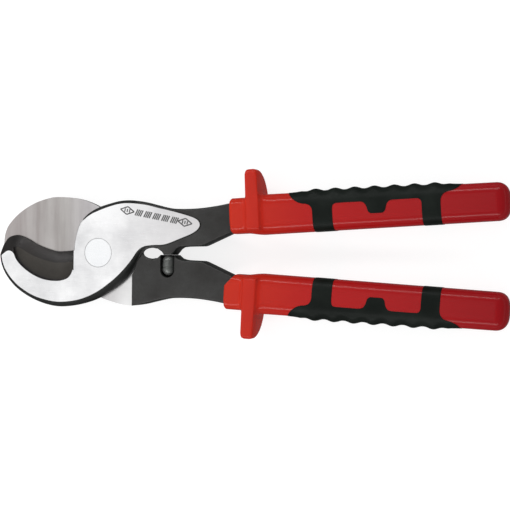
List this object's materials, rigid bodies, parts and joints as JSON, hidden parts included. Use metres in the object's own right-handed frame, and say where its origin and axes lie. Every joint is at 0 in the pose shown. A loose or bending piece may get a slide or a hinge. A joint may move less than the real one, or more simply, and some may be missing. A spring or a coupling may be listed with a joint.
{
  "type": "cable cutter",
  "caption": "Two-hand insulated cable cutter with hooked bypass blades on a bolted pivot, guarded handles and wavy soft grips.",
  "frame": {"origin": "pivot axis, at the flat end of the pivot bolt, which is flush with the ground back face of the head", "axes": "+X from the jaws to the handle ends along the tool's middle line, +Y across the tool towards the handle of the front half, +Z along the pivot axis towards the front face"},
  "size_m": [0.2507, 0.0799, 0.0192],
  "materials": {
    "ground_steel": "ground and polished faces on a blackened forging",
    "black_steel": "black oxide, satin",
    "red_plastic": "glossy moulded insulation",
    "black_rubber": "satin soft moulding",
    "yellow_plastic": "matt moulded warning layer"
  },
  "bodies": {
    "rear_side": {"rear_half": "ground_steel", "stop_pin": "black_steel", "pivot_bolt": "ground_steel", "spring_washer": "ground_steel", "pivot_nut": "black_steel", "lower_inner_layer": "yellow_plastic", "lower_sleeve": "red_plastic", "lower_soft_grip": "black_rubber"},
    "front_side": {"front_half": "ground_steel", "upper_inner_layer": "yellow_plastic", "upper_sleeve": "red_plastic", "upper_soft_grip": "black_rubber"}
  },
  "joints": [
    {"name": "jaw_pivot", "type": "hinge", "parent": "rear_side", "child": "front_side", "pos_m": [0, 0, 0.00565], "axis": [0, 0, 1], "range_deg": [0, 48]}
  ]
}
